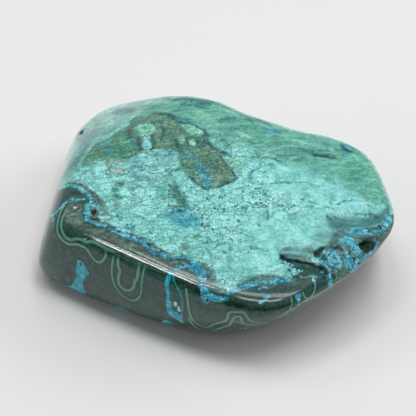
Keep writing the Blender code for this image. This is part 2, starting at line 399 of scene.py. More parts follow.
                  [(105, 174.5), (108, 174), (111.5, 177), (110, 178.6), (106.5, 177)],
                  [(248.5, 175), (250.5, 171.5), (252.5, 176), (251, 181), (249, 180)],
                  [(137, 166.5), (145, 167), (145, 171), (138, 170.5)],
                  [(341, 146), (344, 143), (349, 148), (352, 152), (346, 154), (342, 150)],
                  [(266, 130), (270, 128.5), (278, 131), (276, 133), (269, 132.5)],
                  [(281, 162), (286, 162), (287, 165), (282, 165)],
                  [(224, 155), (229, 153.5), (233, 155), (229, 157.5)]],
        lines=[([(183, 153), (188, 155), (194, 159.5), (197.5, 164), (199, 170)],
                [0.3, 0.35, 0.3, 0.4, 0.5])],
        soft=0.5, ragged=1.8, colours=["#1a7d95", "#3a9fb4", "#7fdfe9"], cover=0.85),
    rustBrown=dict(
        outlines=[[(202, 170.5), (205, 169), (206.5, 172.5), (203.5, 174)],
                  [(220, 170), (223, 168.8), (224.5, 171), (221.5, 173)],
                  [(226, 181), (230, 179.5), (231, 182), (227, 183.5)],
                  [(118, 182.5), (122, 182), (124, 184), (119.5, 185)],
                  [(183, 245), (188, 244), (190, 248), (186, 250.5), (182, 249)],
                  [(167, 206), (173, 205), (178, 207), (174, 209.5), (168, 209)],
                  [(79, 138), (83.5, 138.5), (84, 141.5), (80, 142)],
                  [(124, 144), (122, 150), (120, 151)]],
        lines=[([(96, 151), (101, 148.5), (107, 147.5), (112, 145.5)], [0.3, 0.35, 0.3, 0.2]),
               ([(92, 197), (98, 201), (103, 208), (106, 214)], [0.5, 0.9, 1.1, 0.7]),
               ([(113, 200), (118, 205), (116, 212), (119, 217)], [0.3, 0.4, 0.4, 0.3]),
               ([(128, 128), (131, 133), (132, 137)], [0.3, 0.35, 0.3])],
        soft=0.4, ragged=1.8, colours=["#3c3f3a", "#55655c", "#8ba397"], cover=0.7),
)

# Markings of the right-hand corner, the vein and the banded rock below it.
frontMarkings = dict(
    stripGreen=dict(
        outlines=[[(70, 196), (80, 203), (83, 212), (83, 221), (92, 227), (104, 230), (118, 236),
                   (130, 241), (141, 244), (148, 252), (158, 257), (170, 260), (180, 261),
                   (188, 264), (195, 272), (198, 282), (190, 280), (175, 275), (150, 264),
                   (130, 257), (105, 245), (90, 237), (78, 228), (66, 222), (66, 212)]],
        soft=0.6, ragged=1.2, colours=["#3f564f", "#5a746b", "#86a198"], cover=0.85),
    greenBand=dict(
        lines=[([(231, 321), (244, 324), (258, 324.5), (272, 321.5), (286, 314.5), (297, 308)],
                [0.3, 0.55, 0.6, 0.6, 0.5, 0.35])],
        soft=0.3, ragged=0.7, colours=["#376652", "#4f8368", "#74a58a"], cover=0.75),
    # Pale rock along the lower right and right rims, with a painted reflection of the pale floor at
    # the grazing edge.
    paleRimAndPaintedReflection=dict(
        lines=[([(298, 305), (308, 299.5), (320, 293.5), (333, 285), (344, 278)],
                [0.25, 0.4, 0.45, 0.4, 0.25]),
               ([(393, 226), (388, 236), (378, 247), (368, 256)], [0.2, 0.3, 0.3, 0.2])],
        soft=0.3, ragged=0.8, colours=["#6f9485", "#8fb3a3", "#b2cbbd"], cover=0.7),
    # Painted shade: a very dark green band just under the front edge's highlight, standing for the
    # dark room reflected there.
    paintedShadeBand=dict(
        outlines=[[(90, 244), (105, 252), (125, 261), (150, 270), (172, 281), (190, 290),
                   (210, 300), (228, 306), (245, 311), (262, 313), (280, 310), (292, 304),
                   (284, 304), (262, 306.5), (245, 304), (228, 299), (205, 290.5), (185, 281.5),
                   (165, 274), (145, 266), (125, 258), (105, 249)]],
        soft=0.5, ragged=1.0, colours=["#061509", "#0e3021", "#3a574c"], cover=0.9),
    # Darker teal rock in the right groove, with painted shade where the surface rolls down into it.
    grooveTealAndPaintedShade=dict(
        outlines=[[(326, 217), (334, 217.5), (346, 218), (358, 217.5), (370, 217), (380, 212),
                   (387, 204), (389.5, 214), (385, 219.5), (378, 225), (362, 227.5), (346, 229),
                   (336, 231), (330, 226)]],
        soft=0.7, ragged=0.9, colours=["#184f55", "#2b6c6f", "#468c8d"], cover=0.85),
    scoopTeal=dict(
        outlines=[[(276, 250), (284, 246), (296, 243.5), (308, 246), (316, 251), (314, 259),
                   (302, 258), (290, 256), (281, 255)]],
        soft=0.9, ragged=1.8, colours=["#2f7378", "#529a9c", "#85c8c6"], cover=0.7),
    scoopBrown=dict(
        lines=[([(281, 255.5), (288, 255.8), (297, 257), (306, 259), (314, 260.5)],
                [0.3, 0.5, 0.55, 0.5, 0.3]),
               ([(281, 251), (285, 248.5), (291, 247.5)], [0.2, 0.3, 0.2]),
               ([(304, 248.5), (311, 250.5), (316, 253)], [0.2, 0.45, 0.3])],
        soft=0.4, ragged=1.0, colours=["#2a403b", "#466059", "#728f87"], cover=0.85),
    # Aqua spots and a wavy pale line; the patch above the groove is a painted highlight on its ridge.
    aquaSpotsAndPaintedHighlight=dict(
        outlines=[[(353, 209.5), (361, 208), (371, 209), (373, 212.5), (364, 214.5), (355, 213.8)],
                  [(376, 206), (383, 204.5), (386, 207), (380, 210.5)],
                  [(283, 246.5), (290, 244.5), (297, 244.8), (305, 246), (300, 247.3),
                   (291, 246.8)]],
        lines=[([(338, 206.5), (348, 204), (360, 203), (374, 205)], [0.3, 0.5, 0.5, 0.3])],
        soft=0.4, ragged=1.6, colours=["#62bcc2", "#8bdcdd", "#b4f4f3"], cover=0.8),
    # A soft greyish teal patch: painted shade where the top rolls down toward the groove.
    softTealAndPaintedShade=dict(
        outlines=[[(323, 217), (330, 222), (338, 230), (346, 231), (338, 239), (328, 246),
                   (319, 251), (312, 247), (315, 237), (321, 229), (325, 224)]],
        soft=1.8, ragged=1.5, colours=["#4a8280", "#659f9d", "#88c0bd"], cover=0.75),
    duskZone=dict(
        outlines=[[(330, 236), (340, 229), (352, 228.5), (364, 227.5), (379, 224.5), (389, 215),
                   (392, 224), (388, 234), (381, 243), (372, 253), (360, 265), (347, 276),
                   (335, 281), (331, 274), (326, 266), (322, 255), (326, 246)],
                  [(240, 281), (256, 275), (268, 274), (283, 277), (294, 276), (300, 277),
                   (296, 283), (280, 286), (262, 287), (246, 290), (236, 291)],
                  [(200, 262), (208, 266), (215, 272), (216, 281), (222, 290), (214, 292),
                   (205, 285), (200, 275), (197, 267)]],
        soft=0.5, ragged=1.6, colours=["#243d35", "#446a65", "#659691"], cover=0.85),
    brownFringe=dict(
        lines=[([(66, 184.3), (73, 183), (80, 185), (87, 189), (91.5, 193.5), (95, 199),
                 (99, 204.5)], [0.3, 0.4, 0.45, 0.45, 0.45, 0.4, 0.3]),
               ([(90, 189.5), (96, 196), (100, 203)], [0.2, 0.35, 0.3]),
               ([(88.5, 218), (94, 221.3), (101, 222.3), (108, 224.5), (115, 228.5)],
                [0.5, 0.55, 0.4, 0.4, 0.3]),
               ([(127, 233.8), (136, 236.5), (144, 239.5), (149, 245)], [0.3, 0.4, 0.4, 0.35]),
               ([(150, 243.5), (157, 248.5), (164, 252), (172, 254)], [0.4, 0.45, 0.35, 0.2]),
               ([(92, 209), (95, 212.5), (94, 215)], [0.8, 0.9, 0.7]),
               ([(208, 276), (210, 284), (217, 289), (226, 290)], [0.4, 0.5, 0.4, 0.3])],
        soft=0.18, ragged=1.0, colours=["#2c3c3c", "#4f6461", "#6c8c8c"], cover=0.9),
    crystalGreen=dict(
        outlines=[[(280, 255.5), (290, 257.8), (300, 260), (309, 261.8), (318, 264.5), (329, 270),
                   (327, 277), (317, 276.5), (309, 276), (301, 278), (294, 277), (288, 271),
                   (284, 264)],
                  [(313, 254), (317, 249), (323, 246.5), (328, 247.5), (323, 251.5), (319, 257.5),
                   (314, 257.5)],
                  [(361, 241), (368, 240), (374, 243), (374, 249), (367, 254), (362, 250)]],
        soft=0.3, ragged=1.5, colours=["#001812", "#04382d", "#0f5c4a"], cover=0.93),
    crystalBlue=dict(
        outlines=[[(317, 261), (321, 257), (325, 254), (328, 249.5), (332, 246), (335, 249),
                   (337, 254), (341, 259), (341.5, 265), (338, 269), (331, 266), (324, 264)],
                  [(343, 230), (350, 230), (357, 227.5), (363, 228), (368, 231), (374, 229.8),
                   (380, 228), (385, 222.5), (388.5, 215), (392, 217), (391.5, 223), (386, 229),
                   (381, 232.5), (375, 235), (366, 235), (357, 234), (350, 234.5)],
                  [(339, 240), (343, 237), (348, 236.5), (354, 240), (359, 246), (361, 252),
                   (357, 256), (352, 250), (347, 246), (342, 245)],
                  [(344, 252), (350, 253), (356, 257), (360, 262), (358, 268), (353, 272.5),
                   (349, 272), (345, 265), (343, 258)],
                  [(373, 249), (376, 243), (378.5, 240), (377, 248), (371, 254.5), (366, 260),
                   (360, 266.5), (359, 262), (364, 256), (369, 252)],
                  [(292, 266), (298, 266.5), (299, 274), (294, 275.5), (291, 271)],
                  [(326, 268), (330.5, 269.5), (332, 277), (331.5, 284), (329, 288), (327, 281),
                   (325.5, 274)],
                  [(311, 277), (316, 277.3), (316, 281), (315.3, 287), (314, 284.5),
                   (312, 281)],
                  [(294.5, 295), (300, 294), (300.5, 298), (299, 304), (297, 300.5)],
                  [(260, 281.3), (266, 281), (275, 279.3), (277, 277), (284, 278.5),
                   (290, 278.3), (290, 281.3), (283, 282.3), (275, 284.3), (266, 283.5)],
                  [(225, 292), (232, 289), (241, 285.5), (250, 281.5), (256, 281), (257, 285),
                   (251, 287.5), (243, 290), (234, 293.5), (227, 295)],
                  [(198, 279), (203, 282), (207, 288), (211, 292.5), (218, 296), (226, 296.5),
                   (229, 298.5), (226, 301), (218, 302.3), (211, 301), (207, 303.7), (203, 302),
                   (201.5, 297), (200, 290), (198, 285)],
                  [(189, 268), (195, 262), (200, 263), (203, 268), (206, 274), (206, 281),
                   (201, 280), (197, 275), (192, 272)],
                  [(84.5, 206.5), (87.5, 205), (89, 209), (88.3, 214), (88.5, 219), (86.5, 221),
                   (84, 219.5), (85, 214.5), (83.3, 211)]],
        lines=[([(59, 191), (63.2, 188.5), (69.5, 185.8), (74.6, 187), (79.1, 188.7),
                 (82, 191.8), (86.1, 192.6), (89, 195.8), (90.5, 199.3), (93.8, 201.6),
                 (97.2, 205.3), (97.8, 208.8)],
                [0.25, 0.32, 0.38, 0.35, 0.3, 0.33, 0.38, 0.36, 0.3, 0.3, 0.33, 0.25]),
               ([(86.5, 205.5), (90.5, 203.3), (94, 203.8)], [0.4, 0.3, 0.25]),
               ([(84.8, 220), (90, 221.2), (96, 224), (103.3, 225.6), (108, 227.3),
                 (112.3, 229.5), (118, 232.3), (124.4, 234.8), (131, 238), (141, 240.3),
                 (146, 244.5), (151, 250), (158, 253), (165, 255.8), (170, 257.5)],
                [0.35, 0.3, 0.3, 0.38, 0.3, 0.45, 0.4, 0.5, 0.5, 0.6, 0.65, 0.55, 0.6, 0.55,
                 0.2]),
               ([(170, 258.5), (176, 257.2), (183, 257.2), (188, 258.5), (192, 261.5),
                 (196, 266)], [0.2, 0.25, 0.28, 0.3, 0.4, 0.6]),
               ([(89, 197), (83, 199.5), (77.2, 200.3), (71.5, 200.3), (67, 202), (61.9, 206.8),
                 (57.4, 211.3), (53, 215.2), (49.5, 215.5)],
                [0.1, 0.15, 0.35, 0.35, 0.55, 0.45, 0.4, 0.5, 0.15]),
               ([(53.5, 215), (53.5, 220), (52.8, 226)], [0.5, 0.35, 0.15]),
               ([(55.5, 196), (58, 190)], [0.15, 0.2]),
               ([(173.5, 272), (177.5, 268.2), (183.5, 265.7), (190, 266.5)],
                [0.35, 0.35, 0.35, 0.3]),
               ([(268, 296), (264, 299.5), (260, 303)], [0.4, 0.45, 0.3]),
               ([(258, 290), (262, 287.5), (268, 288)], [0.12, 0.2, 0.15]),
               ([(358, 238.5), (361, 241)], 0.3)],
        soft=0.14, ragged=0.95, colours=["#1a6780", "#40a5be", "#86dfed"], cover=0.95),
    bluePatch=dict(
        outlines=[[(77.5, 260), (81.6, 261), (85, 266), (89, 273), (86, 276), (84, 280), (83, 286),
                   (84.5, 290), (86, 294), (79, 292), (72, 289), (72, 285), (75, 280), (77, 275),
                   (76, 270), (77, 265)],
                  [(112.5, 307.2), (117, 306.6), (122, 308), (128, 311), (130, 313), (125, 312.3),
                   (118, 310.5), (113.5, 309)],
                  [(162, 321), (166, 320), (170, 321.5), (172.5, 324.5), (168, 324), (163, 322.6)],
                  [(174.5, 270.5), (168, 273.3), (165.5, 280), (164.5, 286), (166.3, 294),
                   (166.3, 305), (167.3, 313.5), (172, 317), (178, 320), (182.8, 323.5),
                   (182.3, 318), (182.6, 312), (183, 306), (182, 298), (180, 291), (176.5, 284.5),
                   (174, 278)],
                  [(243.5, 327.8), (246.5, 327.6), (247, 329), (244, 329.2)]],
        lines=[([(73, 287), (67, 286), (61, 282.5), (54, 277)], [0.4, 0.25, 0.15, 0.1])],
        soft=0.12, ragged=0.25, colours=["#0f8496", "#22b0c4", "#66d6e4"], cover=0.97),
    patchCore=dict(
        outlines=[[(172, 276), (174.5, 283), (178.5, 290.5), (181.3, 298), (181.7, 307),
                   (181, 315.5), (176.5, 312.5), (172, 309), (170.3, 300), (169, 291),
                   (169, 282)],
                  [(79.5, 262.5), (82, 263), (82.6, 266), (80.5, 267.3), (79.3, 265)]],
        soft=0.2, ragged=0.7, colours=["#021a16", "#0b443b", "#1f7a72"], cover=0.9),
    cornerStreaks=dict(
        outlines=[[(330.5, 257.5), (333, 258), (332.5, 260.5), (330.5, 260)],
                  [(345, 233.6), (347.3, 234), (347, 235.4), (345, 235.2)]],
        lines=[([(346, 247), (350, 251), (353, 257), (354.5, 262)], [0.2, 0.35, 0.3, 0.2]),
               ([(340, 247), (343, 252), (342, 259)], [0.4, 0.5, 0.4]),
               ([(333, 269.5), (340, 271.5), (346, 272.5)], [0.3, 0.5, 0.3]),
               ([(359, 238), (367, 238.3), (376, 239)], [0.5, 0.7, 0.4]),
               ([(336.5, 264.8), (338, 266.5)], 0.2), ([(333.5, 255), (334.6, 256.2)], 0.16),
               ([(381, 229.5), (383, 230.5)], 0.22), ([(352, 247), (354, 250)], 0.18)],
        soft=0.25, ragged=1.3, colours=["#26403c", "#486a64", "#7c9c94"], cover=0.8),
    # Pale druzy points, and near-white painted glints on the crystals of the open corner.
    palePointsAndPaintedGlints=dict(
        outlines=[[(174, 302), (176.5, 302), (177, 305.5), (174.5, 306)],
                  [(178, 306.5), (180, 307.5), (180.3, 312), (178, 311)],
                  [(325, 249.3), (327.3, 248), (325.5, 252.3), (323.5, 253.3)],
                  [(364.5, 229), (368, 230), (367.5, 231), (364.3, 230)],
                  [(311.5, 258.8), (313.8, 259.5), (313, 262), (311, 261.2)],
                  [(316.5, 257.5), (318.3, 257.5), (318, 260), (316.5, 259.7)],
                  [(292.5, 271), (295.5, 270.8), (295, 274), (292.7, 273.8)],
                  [(294, 267), (296, 267), (295.8, 269.3), (294, 269.2)],
                  [(312, 278), (314, 278.3), (313.8, 281.5), (312.5, 281)],
                  [(73.4, 207), (75.8, 206.5), (76, 208.3), (74, 208.8)],
                  [(329.3, 272), (330.4, 272.5), (330, 279), (329, 277)]],
        lines=[([(279.3, 256.8), (282.5, 260.5), (286.5, 265)], [0.15, 0.2, 0.1]),
               ([(364.3, 244), (366, 250), (365.5, 256)], [0.12, 0.15, 0.12])],
        soft=0.12, ragged=0.3, colours=["#a9d9cf", "#cdeee6", "#ecfaf6"], cover=0.8),
    darkSpecks=dict(
        outlines=[[(152, 227), (154.3, 227.5), (154, 229), (152, 228.8)],
                  [(160.5, 229.5), (162.8, 230), (162.3, 231), (160.5, 230.6)],
                  [(142, 217.5), (144.3, 218), (143.7, 219.2), (142, 218.9)],
                  [(158.2, 215.4), (160, 215.8), (159.6, 217.3), (158.2, 217)],
                  [(181, 214.7), (183, 215), (182.6, 216.6), (181, 216.2)],
                  [(223, 209), (225, 207.4), (225.3, 211), (223.5, 212)],
                  [(245, 206.5), (247, 206.3), (247, 209), (245.2, 208.8)],
                  [(240.3, 213.5), (243, 213.7), (242.7, 215.3), (240.5, 215)],
                  [(237, 219.5), (239.3, 219.7), (240, 223), (237.8, 222.3)],
                  [(257.5, 223.5), (260.3, 225), (260, 227), (257.7, 225.6)],
                  [(234, 205.5), (236.2, 206), (235.6, 207.3), (234, 207)],
                  [(262.5, 252.5), (265, 254), (266.5, 256), (264.5, 255.5)],
                  [(178, 209.5), (182, 210.5), (181, 212.5), (177, 211.6)]],
        lines=[([(280, 182), (284, 181.6), (288, 182.3)], [0.1, 0.2, 0.1]),
               ([(300, 182.5), (303, 181.7)], 0.15), ([(305, 182), (312, 184), (319, 186)], 0.1),
               ([(274.5, 158.5), (278, 161), (281, 161.5)], [0.2, 0.35, 0.2]),
               ([(253, 170.5), (252, 172.5)], [0.25, 0.15]),
               ([(303, 199), (306, 198.5), (312, 202), (320, 204.5), (327, 207), (334, 209.5)],
                [0.15, 0.1, 0.1, 0.14, 0.1, 0.15]),
               ([(338, 204), (341, 202), (345, 200.5)], [0.18, 0.1, 0.18]),
               ([(225, 232), (230, 231), (234, 234), (240, 233), (250, 237)], 0.12),
               ([(312, 155.5), (320, 156), (328, 157.5), (335, 158)], [0.2, 0.35, 0.35, 0.2]),
               ([(341, 146), (345, 149), (350, 152)], [0.4, 0.6, 0.4]),
               ([(327, 216.5), (331, 219)], [0.25, 0.2]), ([(334, 216.5), (336, 217.5)], 0.15),
               ([(349, 201), (352, 200)], 0.15), ([(367, 205), (372, 206)], [0.2, 0.15]),
               ([(354, 214), (360, 214.3), (366, 214.8), (372, 214)], [0.1, 0.2, 0.12, 0.2]),
               ([(222, 154), (236, 156), (250, 157), (264, 157.5), (274, 159)],
                [0.15, 0.08, 0.12, 0.08, 0.14]),
               ([(264, 207), (268, 213), (267, 222)], [0.08, 0.12, 0.08]),
               ([(251, 182), (262, 184), (276, 183), (292, 183)], [0.1, 0.07, 0.1, 0.12])],
        soft=0.2, ragged=0.8, colours=["#122a2c", "#24484a", "#3d6f70"], cover=0.8),
    # Near-black paint in the small pits, holes and along the crevice: painted shade inside them.
    pitsWithPaintedShade=dict(
        outlines=[[(358.5, 244), (362, 241.5), (368, 244), (373, 246.5), (369, 249),
                   (366.5, 253.5), (362, 249.5)],
                  [(280.5, 256), (289, 258.3), (298, 260), (308, 262), (317, 265.5),
                   (327.5, 270.5), (327.5, 273.5), (319, 270.5), (309, 265.5), (299, 264),
                   (290, 263), (284.5, 260)],
                  [(79, 133.5), (80.3, 130.5), (83, 129.8), (83.2, 132), (81.3, 134.7)],
                  [(348.8, 251.3), (351.3, 252), (350.8, 254.7), (348.8, 254)],
                  [(353.3, 258), (355.3, 258.6), (355, 261.3), (353.3, 260.8)],
                  [(358.3, 262.5), (359.8, 262.7), (359.5, 265), (358.3, 264.6)],
                  [(205.8, 299), (208, 299), (208, 301.3), (206, 301.3)],
                  [(222, 296.4), (224, 296.8), (223.5, 298.5), (222, 298.2)],
                  [(53, 216.8), (55.5, 214.3), (56.3, 215), (54, 217.8)],
                  [(76.3, 208.8), (79.3, 206.6), (79.6, 207.8), (77.3, 209.3)],
                  [(354.3, 241.2), (356, 241.8), (355.5, 243.3), (354.2, 242.7)],
                  [(91, 210), (94, 207.8), (96.3, 210.5), (94.5, 214.3), (91.5, 214)]],
        lines=[([(354, 230.2), (356.5, 230.3)], 0.25),
               ([(365, 228.8), (368.5, 229.3), (370, 231.3)], [0.2, 0.25, 0.2]),
               ([(379.5, 225.5), (381, 228)], 0.32),
               ([(374, 229), (378.5, 226.5)], [0.15, 0.2]),
               ([(92, 217.5), (96, 218.5), (99.5, 220.5)], [0.5, 0.4, 0.2]),
               ([(322, 255), (324, 256)], 0.22),
               ([(328.5, 254.2), (329.8, 254.8)], 0.22),
               ([(331, 246.5), (335, 248.5), (339, 246.5), (342, 250)], [0.2, 0.3, 0.25, 0.3]),
               ([(107, 226.6), (108.5, 227.4)], 0.25), ([(137, 237.6), (140, 238.4)], 0.2),
               ([(147, 243), (149.5, 245.8)], [0.25, 0.2]), ([(117.5, 230), (120.5, 231.6)], 0.2),
               ([(156.5, 250.5), (160, 252)], 0.2), ([(65.3, 204.6), (67.8, 202.6)], 0.22),
               ([(86.5, 237.6), (88.6, 238.4)], 0.28)],
        soft=0.14, ragged=0.35, colours=["#050f0d", "#0f2a22", "#27504a"], cover=0.93),
)

# Malachite's pale growth lines in the banded rock, as lines with half widths in mm.
malachiteLines = [
    ([(63, 208), (60, 213), (58, 221), (57.4, 230.6), (60, 237), (64.4, 242), (70.8, 244.6),
      (76.6, 244.2), (81, 246), (85.5, 248), (89.3, 252.9), (93.8, 259.3), (98.9, 262.5),
      (103.3, 260), (105.9, 254.8), (106, 249)], 0.30),
    ([(67, 208), (65.2, 212.5), (62.2, 219), (61.3, 225.5), (62.2, 231.2), (65.7, 237),
      (70.8, 239.8), (75.9, 238.9), (81, 239.5), (86.1, 242), (91.2, 241.5), (97, 243.5),
      (104, 247.5), (114, 252)], 0.32),
    ([(45.6, 219), (45.8, 227), (45.6, 235), (44.7, 243.3), (42, 251.6), (39.6, 257)], 0.25),
    ([(114.5, 253), (112.5, 262), (111.7, 270), (112.3, 277), (115.3, 286), (121, 294),
      (128, 299), (134, 300.5), (139, 297.5), (141.2, 292), (141.6, 284), (142.8, 274),
      (145, 266)], 0.24),
    ([(118.3, 256), (118, 265), (120, 271), (118.5, 277), (119.3, 284), (123.3, 289),
      (129, 290.3), (133.5, 287.5), (134.5, 282), (137.3, 278), (138.3, 270), (139.5, 264)],
     0.36),
    ([(186, 289), (187.5, 300), (188.5, 309), (190.8, 317), (196, 323.3), (203, 326.8),
      (209, 327), (214, 324.3), (222, 322.3), (227, 319.7), (228.3, 314), (231, 312.2),
      (237, 312.3), (243, 312.2), (246, 315), (249, 319.5), (256, 322.6), (268, 322.8),
      (279, 318), (288, 311), (296, 307.5)], 0.30),
    ([(188.5, 318), (191.5, 323), (196, 327.2), (203, 330.3), (210, 331), (217, 329.5),
      (224, 327.3), (230, 324.8), (232.5, 319.5), (236, 316.8), (240.5, 317), (242, 321.5),
      (246, 325), (252, 326), (262, 325.5), (274, 322), (284, 316), (294, 310.5)], 0.30),
    ([(104, 250), (115, 254.5), (130, 261), (148, 267.5), (165, 273.5)], 0.13),
    ([(160, 268), (172, 273), (186, 279.5)], 0.2),
    ([(303, 293), (304.5, 297), (308, 298), (312, 295.3), (314.6, 290), (315.4, 285)], 0.2),
    ([(291, 297), (292, 303), (290, 309)], 0.2),
    ([(338, 262), (340.5, 267), (339, 272), (335, 276)], 0.22),
]

rise = math.radians(view["elevation"])
backward = np.array([0, -math.cos(rise), math.sin(rise)])
upward = np.array([0, math.sin(rise), math.cos(rise)])
eye = np.array(view["target"]) + backward * view["distance"]
focal = view["imageSize"] / view["frameWidth"] * view["distance"]


def sightLine(pixel):                        # the ray through a pixel of the front view
    across, down = pixel[0] - view["imageSize"] / 2, pixel[1] - view["imageSize"] / 2
    ray = -backward * focal + np.array([1.0, 0, 0]) * across - upward * down
    return ray / np.linalg.norm(ray)


def smoothed(route, closed=False, steps=3):  # a curve through the points (Catmull-Rom)
    route = np.array(route, float)
    if len(route) < 3:
        return route
    ends = (route[-1], route[0], route[1]) if closed else (route[0], route[-1], route[-1])
    padded = np.vstack([ends[0], route, ends[1], ends[2]])
    curve = []
    for a, b, c, d in zip(padded, padded[1:], padded[2:], padded[3:]):
        if not closed and np.array_equal(b, c):
            break
        for step in range(steps):
            t = step / steps
            curve.append(((3 * b - 3 * c + d - a) * t ** 3 + (2 * a - 5 * b + 4 * c - d) * t ** 2
                          + (c - a) * t + 2 * b) / 2)
    if not closed:
        curve.append(route[-1])
    return np.array(curve)


def liftOnto(tree, pixels):                  # pixels of the front view laid onto the stone
    lifted = []
    for pixel in pixels:
        ray = sightLine(pixel)
        place = tree.ray_cast(Vector(eye), Vector(ray))[0]
        if place is None:                    # just off the outline: the nearest place to the ray
            aim = np.array(stone["heart"], float)
            for turn in range(8):
                aim = eye + ray * ((aim - eye) @ ray)
                place = tree.find_nearest(Vector(aim))[0]
                aim = np.array(place)
        lifted.append(np.array(place))
    return np.array(lifted)


def polarMap(points):                        # unrolls the surface about the upward axis
    arm = points - stone["heart"]
    tilt = np.arccos(np.clip(arm[:, 2] / np.linalg.norm(arm, axis=1), -1, 1))
    turn = np.arctan2(arm[:, 1], arm[:, 0])
    return np.column_stack([tilt * np.cos(turn), tilt * np.sin(turn)])


def insideOutline(mapped, outline):
    inside = np.zeros(len(mapped), bool)
    for (ax, ay), (bx, by) in zip(outline, np.roll(outline, -1, axis=0)):
        if ay != by:
            crosses = (mapped[:, 1] < ay) != (mapped[:, 1] < by)
            inside ^= crosses & (mapped[:, 0] < (bx - ax) * (mapped[:, 1] - ay) / (by - ay) + ax)
    return inside


def shapesOf(tree, marking):                 # a marking's outlines and lines, lifted and smoothed
    shapes = []
    for outline in marking.get("outlines", []):
        shapes.append((liftOnto(tree, smoothed(outline, closed=True)), 0.0, True))
    for route, halfWidths in marking.get("lines", []):
        widths = np.broadcast_to(np.array(halfWidths, float), (len(route),))
        curve = smoothed(np.column_stack([route, widths]))
        shapes.append((liftOnto(tree, curve[:, :2]), curve[:, 2], False))
    return shapes


def depthInside(points, mapped, shapes, reach=2.5):   # mm inside the edge, negative outside
    depth = np.full(len(points), -float(reach))
    for route, halfWidths, closed in shapes:
        low, high = route.min(axis=0) - reach, route.max(axis=0) + reach
        near = np.where(((points > low) & (points < high)).all(axis=1))[0]
        if len(near) == 0:
            continue
        if closed:
            gap = gapToRoute(points[near], np.vstack([route, route[:1]]))
            inside = insideOutline(mapped[near], polarMap(route))
            found = np.where(inside, gap, -gap)
        else:
            found = -gapToRoute(points[near], route, halfWidths)
        depth[near] = np.maximum(depth[near], found)
    return depth


print("stone: first mesh")
body = bmesh.new()
bmesh.ops.create_icosphere(body, subdivisions=stone["sphereLevel"], radius=1)
ball = np.array([vertex.co[:] for vertex in body.verts])
ball /= np.linalg.norm(ball, axis=1)[:, None]
surface = ontoStone(stone["heart"] + ball * stone["stretch"])


def hollowed(points):
    return points - outwards(points) * hollowDepth(points)[:, None]


def treeOf(points):
    faces = [[corner.index for corner in face.verts] for face in body.faces]
    return BVHTree.FromPolygons(points.tolist(), faces)


print("stone: markings laid on")
tree = treeOf(hollowed(surface))
allMarkings = {**markings, **frontMarkings, "malachite": dict(lines=malachiteLines)}
laid = {name: shapesOf(tree, marking) for name, marking in allMarkings.items()}
hiddenEdge = ontoStone(np.array(capEdge["hidden"], float))
capRoute = np.vstack([liftOnto(tree, smoothed(capEdge["seen"])), smoothed(hiddenEdge)])
laid["cap"] = [(capRoute, 0.0, True)]

print("stone: mesh made finer where it is seen")
for turn in range(stone["rounds"]):
    mapped = polarMap(surface)
    seen = (outwards(surface) @ backward) > stone["seenFacing"]
    nearLine = np.zeros(len(surface), bool)
    for shapes in laid.values():
        nearLine |= np.abs(depthInside(surface, mapped, shapes)) < stone["lineReach"]
    longest = np.where(seen, stone["seenEdge"], stone["hiddenEdge"])
    longest = np.where(nearLine & seen, stone["lineEdge"], longest)
    body.verts.index_update()
    body.edges.ensure_lookup_table()
    ends = np.array([[corner.index for corner in edge.verts] for edge in body.edges])
    lengths = np.linalg.norm(surface[ends[:, 0]] - surface[ends[:, 1]], axis=1)
    allowed = np.minimum(longest[ends[:, 0]], longest[ends[:, 1]])
    chosen = [body.edges[index] for index in np.where(lengths > allowed)[0]]
    if not chosen:
        break
    before = len(body.verts)
    for vertex, place in zip(body.verts, surface):
        vertex.co = place
    bmesh.ops.subdivide_edges(body, edges=chosen, cuts=1)
    bmesh.ops.triangulate(body, faces=[face for face in body.faces if len(face.verts) > 3],
                          quad_method="SHORT_EDGE")
    body.verts.ensure_lookup_table()
    added = np.array([body.verts[index].co[:] for index in range(before, len(body.verts))])
    surface = np.vstack([surface, ontoStone(added)])
print("stone:", len(body.faces), "triangles")

surface = hollowed(surface)
normals = outwards(surface)
tree = treeOf(surface)
mapped = polarMap(surface)
depths = {name: depthInside(surface, mapped, shapes) for name, shapes in laid.items()
          if name not in ("cap", "malachite")}
farReach = dict(cap=60, malachite=7)         # mm out to which these two are measured
for name, reach in farReach.items():
    depths[name] = depthInside(surface, mapped, laid[name], reach=reach)

# The rock that the camera doesn't see has growth lines and smooth patches of its own.
hiddenRock = dict(
    facing=0.16,                 # it starts where the surface faces the camera less than this
    fade=0.3,
    growth=[(13, 1.0, 3), (5.5, 0.35, 7)],           # width in mm, share and seed of its waves
)
depths["unseen"] = np.clip((hiddenRock["facing"] - normals @ backward) / hiddenRock["fade"], 0, 1)
depths["growth"] = sum(share * softNoise(surface, size, salt)
                       for size, share, salt in hiddenRock["growth"])


def softZone(pixels, radius, fade):          # 1 near a line across the stone, fading to 0
    return np.clip(1 + (radius - gapToRoute(surface, liftOnto(tree, pixels))) / fade, 0, 1)


zones = dict(
    calmZone=[([(262, 232), (300, 236), (322, 226)], 3.0, 3.5), ([(280, 262), (250, 262)], 1.5, 3.0),
              ([(288, 176), (345, 196)], 3.0, 4.0)],
    smoothZone=[([(150, 104), (200, 108), (232, 120), (262, 134), (300, 146), (335, 156),
                  (362, 170), (380, 190)], 2.5, 5.0)],
    fleckZone=[([(215, 210), (245, 225)], 3.5, 5.0), ([(255, 200), (272, 205)], 3.0, 4.0),
               ([(340, 202), (368, 206)], 1.0, 2.0), ([(170, 195), (182, 205)], 1.5, 3.0)],
    capTone=[([(222, 196), (262, 206), (300, 216), (325, 226)], 7.0, 8.0),
             ([(238, 182), (300, 196)], 5.0, 6.0), ([(98, 184), (130, 202), (160, 232)], 1.5, 7.0),
             ([(216, 272), (262, 264)], 1.0, 6.0)],
)
for name, lines in zones.items():
    depths[name] = np.max([softZone(*line) for line in lines], axis=0)

